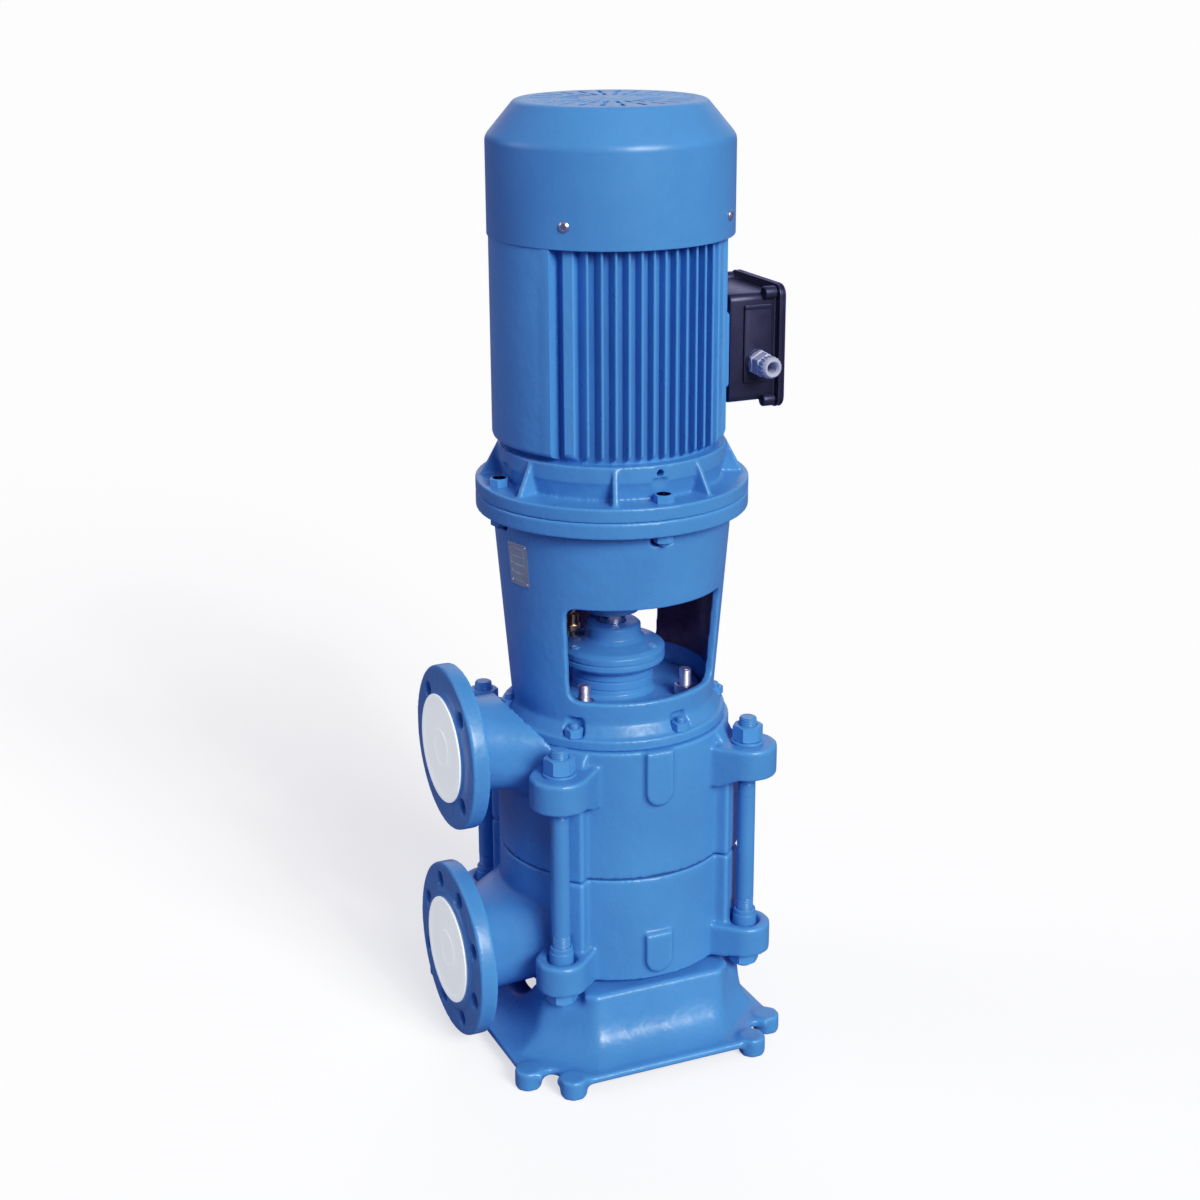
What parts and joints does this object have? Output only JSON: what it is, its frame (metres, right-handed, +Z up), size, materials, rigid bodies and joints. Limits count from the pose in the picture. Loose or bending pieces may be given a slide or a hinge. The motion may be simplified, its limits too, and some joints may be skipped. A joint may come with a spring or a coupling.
{
  "type": "vertical multistage centrifugal water pump",
  "caption": "Vertical multistage centrifugal pump: flange motor on a windowed lantern, tie-rodded casings with two side flanges, and a square slotted base.",
  "frame": {"origin": "on the shaft axis, in the plane of the feet's undersides", "axes": "+Z up along the shaft, -X the way both port flanges face, -Y the way the wide coupling window faces"},
  "size_m": [0.392, 0.387, 1.052],
  "materials": {
    "blue_casting": "gloss",
    "blue_sheet": "gloss",
    "blue_fastener": "gloss",
    "zinc_steel": "satin",
    "bare_steel": "satin",
    "grey_iron": "rough",
    "bronze": "satin",
    "copper_wire": "satin",
    "seal_face": "satin",
    "gasket_rubber": "matte",
    "black_plastic": "satin",
    "red_plastic": "satin",
    "grey_gland": "satin",
    "plate_label": "satin",
    "cover_white": "gloss"
  },
  "bodies": {
    "housing": {"base_pedestal": "blue_casting", "suction_casing": "blue_casting", "discharge_casing": "blue_casting", "casing_gasket": "gasket_rubber", "tie_rods": "blue_fastener", "tie_rod_nuts_upper": "blue_fastener", "tie_rod_nuts_lower": "blue_fastener", "tie_rod_washers": "blue_fastener", "diffuser_lower": "grey_iron", "diffuser_upper": "grey_iron", "wear_rings": "bronze", "lower_bearing_bush": "bronze", "drain_plug": "zinc_steel", "gauge_plug": "zinc_steel", "seal_housing": "blue_casting", "bearing_cover": "blue_casting", "seal_studs": "zinc_steel", "seal_stud_nuts": "zinc_steel", "seal_stationary_ring": "seal_face", "vent_valve": "bronze", "lantern": "blue_casting", "lantern_studs": "blue_fastener", "lantern_nuts": "blue_fastener", "nameplate": "plate_label", "motor_flange_shield": "blue_casting", "flange_bolts": "blue_fastener", "flange_nuts": "blue_fastener", "motor_frame": "blue_casting", "stator_core": "grey_iron", "stator_windings": "copper_wire", "motor_rear_shield": "blue_casting", "fan_cowl": "blue_sheet", "cowl_screws": "zinc_steel", "terminal_box_body": "black_plastic", "terminal_box_gasket": "gasket_rubber", "terminal_box_lid": "black_plastic", "terminal_lid_screws": "zinc_steel", "terminal_block": "red_plastic", "gland_body": "grey_gland", "gland_nut": "grey_gland", "bearing_drive_outer": "bare_steel", "bearing_rear_outer": "bare_steel"},
    "rotor": {"motor_shaft": "bare_steel", "motor_rotor": "grey_iron", "cooling_fan": "black_plastic", "bearing_drive_inner": "bare_steel", "bearing_rear_inner": "bare_steel", "coupling_half_front": "blue_fastener", "coupling_half_rear": "blue_fastener", "coupling_screws": "zinc_steel", "pump_shaft": "bare_steel", "impeller_lower": "bronze", "impeller_upper": "bronze", "impeller_nut": "bare_steel", "spacer_sleeve": "bare_steel", "seal_rotating_ring": "seal_face"},
    "drive_balls": {"bearing_drive_balls": "bare_steel"},
    "rear_balls": {"bearing_rear_balls": "bare_steel"},
    "suction_cap": {"suction_cover": "cover_white"},
    "discharge_cap": {"discharge_cover": "cover_white"}
  },
  "joints": [
    {"name": "rotor_spin", "type": "hinge", "parent": "housing", "child": "rotor", "pos_m": [0, 0, 0.6], "axis": [0, 0, 1], "continuous": true},
    {"name": "drive_balls_orbit", "type": "hinge", "parent": "housing", "child": "drive_balls", "pos_m": [0, 0, 0.669], "axis": [0, 0, 1], "continuous": true},
    {"name": "rear_balls_orbit", "type": "hinge", "parent": "housing", "child": "rear_balls", "pos_m": [0, 0, 0.904], "axis": [0, 0, 1], "continuous": true},
    {"name": "suction_cover_pull", "type": "slide", "parent": "housing", "child": "suction_cap", "axis": [-1, 0, 0], "range_m": [0, 0.08]},
    {"name": "discharge_cover_pull", "type": "slide", "parent": "housing", "child": "discharge_cap", "axis": [-1, 0, 0], "range_m": [0, 0.08]}
  ],
  "couplings": [
    {"joint": "drive_balls_orbit", "follows": "rotor_spin", "ratio": 0.4},
    {"joint": "rear_balls_orbit", "follows": "rotor_spin", "ratio": 0.4}
  ]
}
